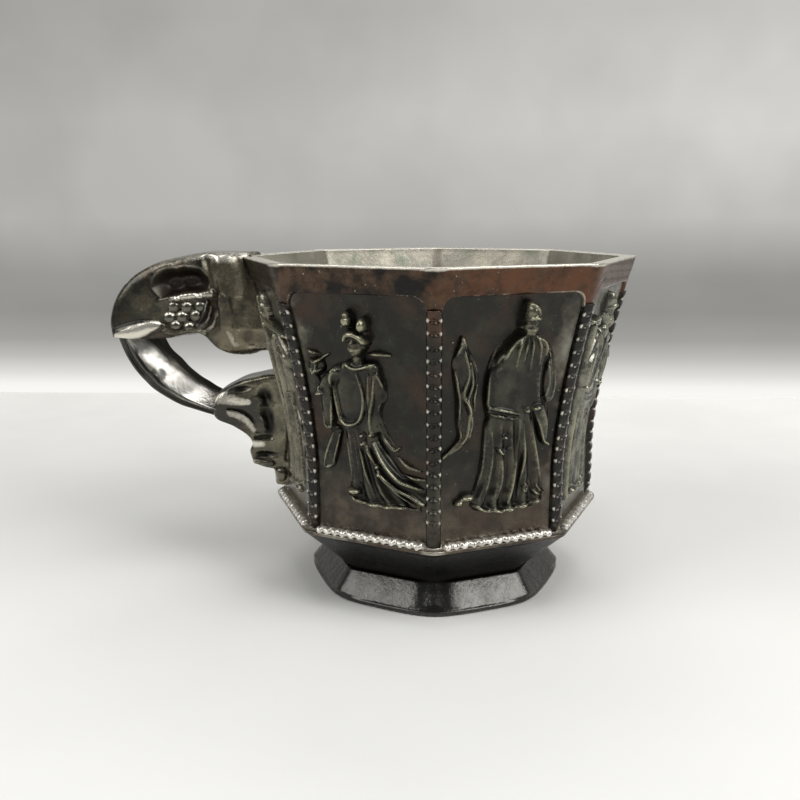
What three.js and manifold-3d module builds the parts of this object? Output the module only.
// Eight-sided cast brass wine cup with a curled branch handle.
// Millimetres, +Z up. The foot stands on z = 0, and the origin is under the middle of the whole
// outline, so the cup's own axis stands a little to +X of it, to balance the handle.
// A corner of the octagon faces -Y, and the handle stands on the corner that faces -X.
import * as THREE from "three";
import { mergeVertices } from "three/addons/utils/BufferGeometryUtils.js";
import Module from "manifold-3d";

const wasm = await Module();
wasm.setup();

// Driving sizes of the bowl. Every radius is measured to a corner of the octagon.
const SIDES = 8;
const CUP_HEIGHT = 55;
const WALL_THICKNESS = 1.9;
const FLOOR_THICKNESS = 3.2;
const WALL_RADIUS = 26.7;
const MOUTH_FLARE = 6.2;
const FLARE_START = 24;
const FLARE_POWER = 1.55;
const WALL_STEPS = 14;
const LEDGE_RADIUS = 28.4;
const LEDGE_BOTTOM = 12.9;
const LEDGE_THICKNESS = 0.6;
const FOOT_HEIGHT = 4.1;
const FOOT_RADIUS = 22.4;
const FOOT_LIP = 0.9;
const WAIST_RADIUS = 18.4;
const FOOT_WALL = 2.6;

// Film of solder between two pieces that are sweated together.
const SOLDER_GAP = 0.1;
// Clearance where one piece is cut to its neighbour.
const CUT_GAP = 0.3;

// Raised band round the mouth, with a leg down each corner.
const BAND_HEIGHT = 4;
const BAND_PROUD = 0.5;
const FIELD_CORNER = 2.2;
const STRIP_HALF_WIDTH = 1.2;

// Beaded strips on the corners and the rope strips on the ledge.
const BEAD_COUNT = 18;
const BEAD_ROW_OFFSET = 0.65;
const BEAD_PROUD = 0.7;
const BEAD_VALLEY = 0.28;
const STRIP_RIDGE = 0.4;
const STRIP_END_GAP = 0.3;
const ROPE_LOBES = 14;
const ROPE_HEIGHT = 1.25;
const ROPE_PROUD = 1.1;
const ROPE_VALLEY = 0.75;
const ROPE_CORNER_GAP = 0.9;

// Relief figures.
const RELIEF_ROWS = 26;
const RELIEF_COLUMNS = 9;
const RELIEF_BASE = 0.7;
const RELIEF_EDGE = 0.8;

// Handle.
const HANDLE_WIDTH = 9;
const HANDLE_BEVEL = 1.3;
const HANDLE_RISE = 0.7;
const HANDLE_TOP = CUP_HEIGHT + HANDLE_RISE;
const HANDLE_REACH = 55.3;
const WEB_THICKNESS = 3;
const ARM_WIDTH = 7;
const ROOT_WIDTH = 8;
const ROOT_BEVEL = 0.9;
const POCKET_BEVEL = 0.2;
const BERRY_CLEARANCE = 1.15;

const HALF_SIDE_ANGLE = Math.PI / SIDES;
const FACE = Math.cos(HALF_SIDE_ANGLE);
const HALF_FACE = Math.sin(HALF_SIDE_ANGLE);
const LEDGE_TOP = LEDGE_BOTTOM + LEDGE_THICKNESS;
const BAND_BOTTOM = CUP_HEIGHT - BAND_HEIGHT;
const LEG_BOTTOM = BAND_BOTTOM - FIELD_CORNER;

const BRASS = { color: 0x3a3128, roughness: 0.42, metalness: 0.85 };
const WORN_BRASS = { color: 0x5a3a28, roughness: 0.38, metalness: 0.85 };
const RUBBED_BRASS = { color: 0x6e6248, roughness: 0.35, metalness: 0.9 };

// Corner radius of the outer wall at a height.
function wallRadius(z) {
  const rise = Math.max(0, (z - FLARE_START) / (CUP_HEIGHT - FLARE_START));
  return WALL_RADIUS + MOUTH_FLARE * rise ** FLARE_POWER;
}

// Evenly spaced values from a to b, ends included.
function steps(a, b, count) {
  return Array.from({ length: count + 1 }, (_, i) => a + ((b - a) * i) / count);
}

// A mesh from points and triangles.
function geometryOf(points, triangles) {
  const geometry = new THREE.BufferGeometry();
  geometry.setAttribute("position", new THREE.Float32BufferAttribute(points.flat(), 3));
  geometry.setIndex(triangles);
  return geometry;
}

// Joins closed section loops, one after another. A ring joins the last to the first.
function loft(sections, ring = false) {
  const size = sections[0].length;
  const triangles = [];
  const last = ring ? sections.length : sections.length - 1;
  for (let i = 0; i < last; i++) {
    const a = i * size;
    const b = ((i + 1) % sections.length) * size;
    for (let j = 0; j < size; j++) {
      const k = (j + 1) % size;
      triangles.push(a + j, b + j, b + k, a + j, b + k, a + k);
    }
  }
  if (!ring) {
    const end = (sections.length - 1) * size;
    for (let j = 1; j < size - 1; j++) {
      triangles.push(0, j, j + 1);
      triangles.push(end, end + j + 1, end + j);
    }
  }
  return outward(geometryOf(sections.flat(), triangles));
}

// Signed volume of an indexed mesh.
function volumeOf(geometry) {
  const p = geometry.getAttribute("position");
  const index = geometry.index.array;
  const [a, b, c] = [new THREE.Vector3(), new THREE.Vector3(), new THREE.Vector3()];
  let sum = 0;
  for (let i = 0; i < index.length; i += 3) {
    a.fromBufferAttribute(p, index[i]);
    b.fromBufferAttribute(p, index[i + 1]);
    c.fromBufferAttribute(p, index[i + 2]);
    sum += a.dot(b.cross(c)) / 6;
  }
  return sum;
}

// Turns every face round if the mesh is inside out.
function outward(geometry) {
  if (volumeOf(geometry) < 0) {
    const index = geometry.index.array;
    for (let i = 0; i < index.length; i += 3) {
      [index[i + 1], index[i + 2]] = [index[i + 2], index[i + 1]];
    }
  }
  return geometry;
}

// A geometry as a solid that can be joined and cut.
function solid(geometry) {
  const bare = new THREE.BufferGeometry();
  bare.setAttribute("position", geometry.getAttribute("position"));
  if (geometry.index) bare.setIndex(geometry.index);
  const merged = outward(mergeVertices(bare, 1e-4));
  return new wasm.Manifold(
    new wasm.Mesh({
      numProp: 3,
      vertProperties: new Float32Array(merged.getAttribute("position").array),
      triVerts: new Uint32Array(merged.index.array),
    }),
  );
}

// A solid back as a geometry.
function geometry(manifold) {
  const mesh = manifold.getMesh();
  const out = new THREE.BufferGeometry();
  out.setAttribute("position", new THREE.BufferAttribute(new Float32Array(mesh.vertProperties), 3));
  out.setIndex(new THREE.BufferAttribute(new Uint32Array(mesh.triVerts), 1));
  return out;
}

function unite(solids) {
  return solids.reduce((all, one) => all.add(one));
}

// Distance of the cup's axis from the origin.
const RIM_REACH = wallRadius(CUP_HEIGHT) + (SOLDER_GAP + BAND_PROUD) / FACE;
const AXIS_X = (HANDLE_REACH - RIM_REACH) / 2;

const cup = new THREE.Group();

function place(name, shape, finish) {
  const flat = shape.index ? shape.toNonIndexed() : shape;
  flat.translate(AXIS_X, 0, 0);
  flat.computeVertexNormals();
  const mesh = new THREE.Mesh(flat, new THREE.MeshStandardMaterial({ ...finish, flatShading: true }));
  mesh.name = name;
  cup.add(mesh);
  return mesh;
}

// Point on a face of the octagon: u runs along the face, out is how far it stands proud of the wall.
// Side 0 lies just right of the front corner, and sides count round towards the right.
function facePoint(side, u, z, out) {
  const turn = (side + 0.5) * 2 * HALF_SIDE_ANGLE;
  const apothem = wallRadius(z) * FACE + out;
  return [
    apothem * Math.sin(turn) + u * Math.cos(turn),
    -apothem * Math.cos(turn) + u * Math.sin(turn),
    z,
  ];
}

// Point on a corner of the octagon. Corner 0 faces -Y, and corners count round towards the right.
function cornerPoint(corner, z, out) {
  const turn = corner * 2 * HALF_SIDE_ANGLE;
  const radius = wallRadius(z) + out / FACE;
  return [radius * Math.sin(turn), -radius * Math.cos(turn), z];
}

// Eight-sided solid from a profile of [corner radius, height] pairs.
function octagonal(profile) {
  const points = profile.map(([r, z]) => new THREE.Vector2(r, z));
  const shape = new THREE.LatheGeometry(points, SIDES);
  shape.rotateX(Math.PI / 2);
  return geometry(solid(shape));
}

// Bowl: outer profile up the bevel, over the ledge and up the wall, then down the inside.
function bowlProfile() {
  const wall = steps(LEDGE_TOP, CUP_HEIGHT, WALL_STEPS);
  const inset = WALL_THICKNESS / FACE;
  const floorTop = FOOT_HEIGHT + FLOOR_THICKNESS;
  const outside = wall.map((z) => [wallRadius(z), z]);
  const inside = wall.map((z) => [wallRadius(z) - inset, z]).reverse();
  return [
    [0, FOOT_HEIGHT],
    [WAIST_RADIUS, FOOT_HEIGHT],
    [LEDGE_RADIUS, LEDGE_BOTTOM],
    [LEDGE_RADIUS, LEDGE_TOP],
    ...outside,
    ...inside,
    [WAIST_RADIUS - inset, floorTop],
    [0, floorTop],
  ];
}

// Foot: a hollow ring with an upright lip, concave between lip and waist.
function footProfile() {
  const flare = steps(0, 1, 5).map((t) => [
    WAIST_RADIUS + (FOOT_RADIUS - WAIST_RADIUS) * (1 - t) ** 1.7,
    FOOT_LIP + (FOOT_HEIGHT - SOLDER_GAP - FOOT_LIP) * t,
  ]);
  const top = FOOT_HEIGHT - SOLDER_GAP;
  const inner = [WAIST_RADIUS - FOOT_WALL, top];
  return [[FOOT_RADIUS - FOOT_WALL, 0], [FOOT_RADIUS, 0], ...flare, inner, [FOOT_RADIUS - FOOT_WALL, 0]];
}

// Rim band: one closed ring whose lower edge rounds down into a leg at each corner.
function rimBand() {
  const sections = [];
  const section = (point, low) => {
    const heights = steps(low, CUP_HEIGHT, 2);
    const outer = heights.map((z) => point(z, SOLDER_GAP + BAND_PROUD));
    const inner = heights.map((z) => point(z, SOLDER_GAP)).reverse();
    return [...outer, ...inner];
  };
  for (let side = 0; side < SIDES; side++) {
    sections.push(section((z, out) => cornerPoint(side, z, out), LEG_BOTTOM));
    const turns = steps(0, Math.PI / 2, 4);
    const left = turns.map((a) => [
      STRIP_HALF_WIDTH + FIELD_CORNER * (1 - Math.cos(a)),
      FIELD_CORNER * Math.sin(a),
    ]);
    for (const [inset, rise] of left) {
      const u = (z) => inset - wallRadius(z) * HALF_FACE;
      sections.push(section((z, out) => facePoint(side, u(z), z, out), LEG_BOTTOM + rise));
    }
    for (const [inset, rise] of [...left].reverse()) {
      const u = (z) => wallRadius(z) * HALF_FACE - inset;
      sections.push(section((z, out) => facePoint(side, u(z), z, out), LEG_BOTTOM + rise));
    }
  }
  return loft(sections, true);
}

// Corner strip: a ridge on the corner with a row of beads on each face beside it.
function cornerStrip(corner) {
  const bottom = LEDGE_TOP + ROPE_HEIGHT + 2 * STRIP_END_GAP;
  const top = LEG_BOTTOM - STRIP_END_GAP;
  const sections = steps(bottom, top, 2 * BEAD_COUNT).map((z, i) => {
    const bead = SOLDER_GAP + (i % 2 ? BEAD_PROUD : BEAD_VALLEY);
    const before = (corner + SIDES - 1) % SIDES;
    const edge = wallRadius(z) * HALF_FACE;
    return [
      facePoint(before, edge - STRIP_HALF_WIDTH, z, SOLDER_GAP),
      facePoint(before, edge - BEAD_ROW_OFFSET, z, bead),
      cornerPoint(corner, z, SOLDER_GAP + STRIP_RIDGE),
      facePoint(corner, BEAD_ROW_OFFSET - edge, z, bead),
      facePoint(corner, STRIP_HALF_WIDTH - edge, z, SOLDER_GAP),
      cornerPoint(corner, z, SOLDER_GAP),
    ];
  });
  return loft(sections);
}

// Rope strip: a bar on the ledge whose lobes swell and shrink along the side.
function ropeStrip(side) {
  const low = LEDGE_TOP + SOLDER_GAP;
  const middle = low + ROPE_HEIGHT / 2;
  const high = low + ROPE_HEIGHT;
  const half = wallRadius(low) * HALF_FACE - ROPE_CORNER_GAP;
  const sections = steps(-half, half, 2 * ROPE_LOBES).map((u, i) => {
    const out = SOLDER_GAP + (i % 2 ? ROPE_PROUD : ROPE_VALLEY);
    return [
      facePoint(side, u, low, SOLDER_GAP),
      facePoint(side, u, low, out * 0.7),
      facePoint(side, u, middle, out),
      facePoint(side, u, high, out * 0.6),
      facePoint(side, u, high, SOLDER_GAP),
    ];
  });
  return loft(sections);
}

// A relief figure is shaped on a flat board: x across, y up from the ledge, and a height off the wall,
// all in hundredths of the panel's height. It is made of marks. A bar is a half-round stroke along
// points of [x, y, half width, height], and an oval is a dome at a point. The marks of the body are
// melted into one form, and what the figure holds or trails is joined to it.
function bar(points) {
  return (x, y) => {
    let height = 0;
    for (let i = 1; i < points.length; i++) {
      const [ax, ay, aw, ah] = points[i - 1];
      const [bx, by, bw, bh] = points[i];
      const [dx, dy] = [bx - ax, by - ay];
      const t = Math.min(1, Math.max(0, ((x - ax) * dx + (y - ay) * dy) / (dx * dx + dy * dy)));
      const share = Math.hypot(x - ax - t * dx, y - ay - t * dy) / (aw + (bw - aw) * t);
      if (share < 1) height = Math.max(height, (ah + (bh - ah) * t) * Math.sqrt(1 - share * share));
    }
    return height;
  };
}

function oval(cx, cy, rx, ry, rise) {
  return (x, y) => rise * Math.sqrt(Math.max(0, 1 - ((x - cx) / rx) ** 2 - ((y - cy) / ry) ** 2));
}

// The same stroke as a solid, with upright edges.
function rod(points) {
  const sections = points.map(([x, y, half, height], i) => {
    const [ax, ay] = points[Math.max(0, i - 1)];
    const [bx, by] = points[Math.min(points.length - 1, i + 1)];
    const length = Math.hypot(bx - ax, by - ay);
    const across = [-(by - ay) / length, (bx - ax) / length];
    const round = [[-1, 0], [-1, 0.4], [-0.6, 0.85], [0, 1], [0.6, 0.85], [1, 0.4], [1, 0]];
    return round.map(([t, h]) => [x + across[0] * half * t, y + across[1] * half * t, height * h]);
  });
  return solid(loft(sections));
}

// A domed disc with an upright edge, as a solid.
function knob(x, y, rx, ry, height) {
  const profile = [[0, 0], [1, 0], [1, 0.4], [0.6, 0.85], [0, 1]].map(([r, h]) => new THREE.Vector2(r, h));
  const shape = new THREE.LatheGeometry(profile, 10);
  shape.rotateX(Math.PI / 2);
  shape.scale(rx, ry, height);
  shape.translate(x, y, 0);
  return solid(shape);
}

// Robe, sleeves and head of a standing figure about the line x = at, with its head leaning aside.
function robed(at, lean, hem, sleeve) {
  return [
    bar([
      [at, 16.5, hem, 2.7],
      [at, 26.7, hem * 0.9, 3.2],
      [at, 40, 8.8, 3.7],
      [at, 52, 8.3, 4],
      [at + lean * 0.4, 64, 10.7, 4.3],
      [at + lean * 0.7, 74.7, 10.1, 4],
      [at + lean, 80.8, 4, 3.2],
    ]),
    bar([
      [at - sleeve, 54.7, 3.2, 3.5],
      [at - 6.4, 61.3, 4.8, 5.1],
      [at, 63.5, 3.7, 5.6],
      [at + 6.4, 61.3, 4.8, 5.1],
      [at + sleeve, 54.7, 3.2, 3.5],
    ]),
    oval(at + lean, 85.9, 4.3, 5.3, 5.1),
  ];
}

const topknots = (x) => [oval(x - 2.4, 92.3, 2.1, 3.7, 3.7), oval(x + 2.7, 91.5, 2.1, 3.7, 3.7)];
const pointedCap = (x) => [bar([[x, 89.1, 4, 4.3], [x + 0.3, 92.8, 2.9, 3.7], [x + 1.6, 96.3, 1.3, 2.7]])];
const squareCap = (x) => [bar([[x, 89.6, 4.3, 4.3], [x, 94.4, 4, 3.7]])];
const baldHead = (x) => [oval(x, 89.1, 3.7, 3.7, 4.5)];

const figures = {
  figure_with_whisk: {
    body: [
      ...robed(6.7, -0.5, 13.1, 11.5),
      ...pointedCap(6.1),
      bar([[6.4, 82.7, 2.4, 5.3], [6.1, 74.7, 3.7, 5.6], [5.6, 68.3, 1.3, 5.1]]),
    ],
    held: () => [
      rod([
        [-18.4, 85.3, 1.1, 2.4],
        [-16.8, 76, 3.7, 3.5],
        [-16.3, 68.8, 4.8, 3.7],
        [-15.5, 57.3, 4, 3.5],
        [-14.7, 45.3, 2.9, 2.7],
        [-21.6, 37.3, 1.1, 1.9],
      ]),
      rod([[-15.7, 59.7, 2.4, 2.9], [-9.1, 55.7, 2.7, 3.7], [-3.2, 54.9, 2.1, 3.7]]),
      rod([[13.9, 52.3, 2.4, 3.7], [19.5, 39.7, 1.9, 2.9]]),
      rod([[-16.8, 18.9, 1.9, 2.4], [-10.7, 18.4, 2.1, 2.7], [-2.7, 17.1, 2.1, 2.7]]),
    ],
  },
  figure_with_staff: {
    body: [...robed(2.7, -0.8, 12.3, 11.2), ...squareCap(1.9)],
    held: () => [
      rod([[-11.5, 94.1, 2.4, 3.2], [-11.6, 89.6, 1.3, 2.9], [-11.7, 56, 1.3, 3.7], [-12.5, 16, 1.3, 2.7]]),
    ],
  },
  figure_with_sword: {
    body: [...robed(-1.6, 0.8, 12.5, 11.2), ...pointedCap(-0.8)],
    held: () => [rod([[18.7, 93.3, 1.1, 2.4], [14.4, 77.3, 1.6, 2.9], [9.9, 57.6, 1.9, 4.5]])],
  },
  figure_with_basket: {
    body: [...robed(-1.3, 0.8, 11.7, 11.5), ...topknots(-0.5)],
    held: () => [
      knob(14.9, 52.3, 4.8, 4.5, 4),
      rod([[10.9, 53.6, 1.1, 2.9], [13.1, 62.9, 1.1, 2.7], [16.5, 62.9, 1.1, 2.7], [18.9, 53.6, 1.1, 2.7]]),
    ],
  },
  figure_with_fan: {
    body: [...robed(0.8, 0, 13.6, 11.5), ...baldHead(0.8)],
    held: () => [knob(-15.7, 72.5, 4.8, 6.4, 2.9), rod([[-14.9, 68.3, 1.2, 3.5], [-10.9, 55.7, 1.3, 4.3]])],
  },
  figure_with_gourd: {
    body: [...robed(-4.3, -0.8, 11.2, 10.4), ...baldHead(-5.1)],
    held: () => [
      knob(9.6, 60.3, 4, 4.3, 4),
      knob(9.9, 66.4, 2.7, 2.9, 3.2),
      rod([[-16.3, 82.7, 1.3, 2.7], [-16.5, 54.9, 1.3, 3.5], [-16.8, 16, 1.3, 2.7]]),
    ],
  },
  figure_with_flute: {
    body: [...robed(4.8, -0.8, 11.2, 10.7), ...topknots(4)],
    held: () => [rod([[-7.7, 89.6, 1.2, 2.9], [4.3, 86.1, 1.3, 6.7], [21.9, 81.6, 1.2, 2.9]])],
  },
  figure_with_lotus: {
    body: [
      bar([
        [-1.1, 18.1, 8.8, 2.7],
        [-2.7, 28, 8.8, 3.2],
        [-3.7, 41.3, 8.5, 3.7],
        [-2.1, 50.7, 9.6, 4],
        [-1.1, 64, 10.7, 4.3],
        [-1.3, 70.9, 8.5, 3.7],
      ]),
      oval(-0.3, 78.9, 4.5, 5.9, 5.1),
      oval(-2.9, 89.1, 2.4, 5.1, 3.7),
      oval(2.7, 87.7, 2.4, 4.8, 3.7),
      bar([[-1.6, 18.7, 7.5, 2.4], [4.3, 17.6, 4.3, 2.1]]),
    ],
    held: () => [
      rod([
        [-6.9, 68.3, 3.5, 4.8],
        [-17.1, 62.4, 3.5, 4.3],
        [-17.6, 50.7, 2.9, 3.2],
        [-18.7, 29.9, 2.1, 2.1],
      ]),
      rod([[-17.6, 60.3, 1.9, 3.2], [-18.4, 69.3, 2.4, 2.9], [-18.9, 77.9, 4, 3.2]]),
      rod([[2.7, 77.1, 1.5, 3.7], [12, 77.1, 1.3, 2.9]]),
      rod([[4.8, 46.9, 2.7, 3.7], [6.4, 37.9, 3.5, 3.2], [12.3, 28.3, 4, 2.9], [21.3, 19.7, 2.9, 2.1]]),
      rod([[7.7, 51.7, 1.6, 3.2], [13.3, 38.9, 1.6, 2.7], [21.3, 29.9, 1.3, 2.1]]),
    ],
  },
};

// Lays a figure on its face. The body is a loft of rows, each as wide as the marks that it crosses.
function relief({ body, held }, side) {
  const height = (x, y) => Math.max(...body.map((mark) => mark(x, y)));
  const unit = (BAND_BOTTOM - LEDGE_TOP) / 100;
  const rows = steps(13.3, 97.1, RELIEF_ROWS).flatMap((y) => {
    const covered = steps(-24, 24, 180).filter((x) => height(x, y) > 0.3);
    return covered.length ? [[y, covered[0] - RELIEF_EDGE, covered.at(-1) + RELIEF_EDGE]] : [];
  });
  const sections = rows.map(([y, left, right]) => {
    const front = steps(left, right, RELIEF_COLUMNS).map((x) => [x, y, RELIEF_BASE + height(x, y)]);
    return [[left, y, 0], ...front, [right, y, 0]];
  });
  const flat = geometry(unite([solid(loft(sections)), ...held()]));
  const p = flat.getAttribute("position");
  for (let i = 0; i < p.count; i++) {
    const z = LEDGE_TOP + unit * p.getY(i);
    const limit = wallRadius(z) * HALF_FACE - STRIP_HALF_WIDTH - CUT_GAP;
    const u = Math.min(limit, Math.max(-limit, unit * p.getX(i)));
    p.setXYZ(i, ...facePoint(side, u, z, SOLDER_GAP + unit * p.getZ(i)));
  }
  return flat;
}

// What the handle is cut to: the outside of the cup with its band, a clearance larger all round.
function cupCutter() {
  const grow = (CUT_GAP + SOLDER_GAP + BAND_PROUD) / FACE;
  const underBand = LEG_BOTTOM - FIELD_CORNER;
  const above = HANDLE_TOP + BAND_HEIGHT;
  const wall = steps(LEDGE_TOP, CUP_HEIGHT, WALL_STEPS).map((z) => [
    wallRadius(z) + (z > underBand ? grow : CUT_GAP),
    z,
  ]);
  const base = [[0, 0], [WAIST_RADIUS, 0], [LEDGE_RADIUS + CUT_GAP, LEDGE_BOTTOM]];
  return solid(octagonal([...base, ...wall, [wall.at(-1)[0], above], [0, above]]));
}

// Slab in the plane of the handle, from an outline of [distance from the axis, height], rounded over
// its edges.
function slab(outline, width, bevel) {
  const shape = new THREE.Shape(outline.map(([x, z]) => new THREE.Vector2(-x, z)));
  const body = new THREE.ExtrudeGeometry(shape, {
    depth: width - 2 * bevel,
    bevelEnabled: true,
    bevelThickness: bevel,
    bevelSize: bevel * 0.6,
    bevelOffset: -bevel * 0.6,
    bevelSegments: 2,
    curveSegments: 6,
  });
  body.translate(0, 0, bevel - width / 2);
  body.rotateX(Math.PI / 2);
  return solid(body);
}

// The handle is drawn in hundredths: across, of the way from the wall's corner out to HANDLE_REACH,
// and up, of the way from the ledge to HANDLE_TOP. Each station of the arm has an outer and an inner edge.
const drawn = {
  crown: [
    [11.5, 100], [42.3, 100], [57, 98.3], [71.7, 95.8], [85, 90.8], [93.4, 84.6], [97.9, 78.6],
    [100, 72], [99, 66.6], [71.7, 65.8], [62.6, 65.2], [48.6, 65.7], [43, 63.6], [38.5, 60.1], [35, 58.8],
    [24.5, 58.6], [17.5, 57.4], [11.5, 59], [1, 59],
  ],
  pocket: [
    [78, 85.1], [75.9, 78.9], [74.5, 72.8], [72.4, 68.2], [45.1, 68.2], [38.8, 76.1], [39.5, 84.8],
    [42.3, 89.8], [50, 93.1], [61.9, 93.8], [73.1, 91.3],
  ],
  pocketMiddle: [58.7, 80.9],
  arm: [
    [[98.3, 65.4], [71.7, 64.6]],
    [[95.1, 59.5], [67.5, 60.7]],
    [[90.2, 53.3], [61.9, 56.4]],
    [[83.6, 47.6], [56.6, 52.9]],
    [[76.9, 43.1], [50, 49.1]],
    [[64, 38], [44.4, 46.7]],
    [[53.5, 35.6], [40.9, 45]],
    [[42.7, 33.2], [38.1, 43.1]],
  ],
  root: [
    [1, 51.2], [9.4, 51.2], [15.7, 49.7], [22.7, 48.8], [29.4, 46.7], [36.7, 43.6], [41.3, 32.7],
    [31.1, 29.9], [22, 25.8], [18.5, 21.6], [20.6, 18.3], [18.5, 13.3], [13.3, 11.8], [8, 11.2],
  ],
};

function handlePoint([across, up]) {
  return [
    WALL_RADIUS + (across * (HANDLE_REACH - WALL_RADIUS)) / 100,
    LEDGE_TOP + (up * (HANDLE_TOP - LEDGE_TOP)) / 100,
  ];
}

// Arm: a bar with a crest along its outer edge, lofted through its stations.
function armSolid() {
  const around = [
    [1, 0], [0.62, 0.8], [-0.1, 1], [-0.8, 0.72],
    [-1, 0], [-0.8, -0.72], [-0.1, -1], [0.62, -0.8],
  ];
  const sections = drawn.arm.map((edges) => {
    const [[ox, oz], [ix, iz]] = edges.map(handlePoint);
    return around.map(([t, w]) => [
      -((ox + ix) / 2 + (t * (ox - ix)) / 2),
      (w * ARM_WIDTH) / 2,
      (oz + iz) / 2 + (t * (oz - iz)) / 2,
    ]);
  });
  return loft(sections);
}

// Cuts the two side pockets out of the crown and leaves a web between them.
function crownSolid() {
  const overlap = 1.1;
  const [middleX, middleZ] = drawn.pocketMiddle;
  const larger = drawn.pocket.map(([x, z]) => [
    middleX + (x - middleX) * overlap,
    middleZ + (z - middleZ) * overlap,
  ]);
  const pocket = slab(drawn.pocket.map(handlePoint), 1.2 * HANDLE_WIDTH, POCKET_BEVEL);
  const web = slab(larger.map(handlePoint), WEB_THICKNESS, POCKET_BEVEL);
  const crown = slab(drawn.crown.map(handlePoint), HANDLE_WIDTH, HANDLE_BEVEL);
  return crown.subtract(pocket.subtract(web)).add(bracketSolid()).subtract(cupCutter());
}

// Root: it runs down the corner of the wall and stops just above the rope.
function rootSolid() {
  const foot = LEDGE_TOP + SOLDER_GAP + ROPE_HEIGHT + CUT_GAP;
  const ends = [[7, 0], [-2.4, 0]].map(handlePoint).map(([x]) => [x, foot]);
  return slab([...drawn.root.map(handlePoint), ...ends], ROOT_WIDTH, ROOT_BEVEL).subtract(cupCutter());
}

// Bracket of the crown: it grows wider towards the wall, and most of all under the rim. Each section
// gives its place along the handle, then its half widths at the top, middle and bottom as shares.
function bracketSolid() {
  const stations = [[29, 0.8, 0.93, 0.76], [16.8, 1.07, 1.2, 0.76], [-0.7, 1.47, 1.6, 0.71]];
  const heights = [99.3, 85.3, 60.4];
  const sections = stations.map(([across, ...widths]) => {
    const points = widths.map((share, i) => {
      const [x, z] = handlePoint([across, heights[i]]);
      return [-x, (share * HANDLE_WIDTH) / 2, z];
    });
    return [...points, ...points.map(([x, y, z]) => [x, -y, z]).reverse()];
  });
  return solid(loft(sections));
}

// Berries in three rows, set against the web and spaced to fit between the pocket's sides.
function berryCluster(front) {
  const [farSide] = handlePoint(drawn.pocket[2]);
  const [, pocketFloor] = handlePoint(drawn.pocket[4]);
  const [nearSide] = handlePoint(drawn.pocket[5]);
  const middleX = (farSide + nearSide) / 2;
  const pitch = (farSide - nearSide - 2 * BERRY_CLEARANCE) / 3.8;
  const radius = 0.57 * pitch;
  const middleZ = pocketFloor + SOLDER_GAP + radius + 0.8 * pitch;
  const rows = [[0.9, [-1, 0, 1]], [0, [-1.5, -0.5, 0.5, 1.5]], [-0.8, [-0.8, 0.3, 1.2]]];
  const berries = rows.flatMap(([row, places]) => places.map((place) => {
    const ball = new THREE.SphereGeometry(radius, 8, 6);
    ball.rotateY(place);
    ball.translate(-middleX + place * pitch, 0, middleZ + row * pitch);
    return solid(ball);
  }));
  const backing = new THREE.BoxGeometry(5 * radius, 0.7 * radius, 3 * radius);
  backing.translate(-middleX, 0, middleZ);
  const keep = new THREE.BoxGeometry(20 * radius, 4 * radius, 20 * radius);
  keep.translate(-middleX, -2 * radius, middleZ);
  const half = geometry(unite([...berries, solid(backing)]).intersect(solid(keep)));
  half.translate(0, -(WEB_THICKNESS / 2 + SOLDER_GAP), 0);
  if (!front) half.scale(1, -1, 1);
  return geometry(solid(half));
}

place("bowl", octagonal(bowlProfile()), BRASS);
place("foot", octagonal(footProfile()), BRASS);
place("rim_band", rimBand(), WORN_BRASS);

const handleCorner = (SIDES * 3) / 4;
for (let corner = 0; corner < SIDES; corner++) {
  if (corner !== handleCorner) place(`corner_strip_${corner + 1}`, cornerStrip(corner), WORN_BRASS);
}
for (let side = 0; side < SIDES; side++) place(`rope_strip_${side + 1}`, ropeStrip(side), RUBBED_BRASS);

Object.entries(figures).forEach(([name, figure], side) => place(name, relief(figure, side), RUBBED_BRASS));

place("handle_crown", geometry(crownSolid()), BRASS);
place("handle_arm", armSolid(), RUBBED_BRASS);
place("handle_root", geometry(rootSolid()), BRASS);
place("berries_front", berryCluster(true), RUBBED_BRASS);
place("berries_back", berryCluster(false), RUBBED_BRASS);

export default cup;
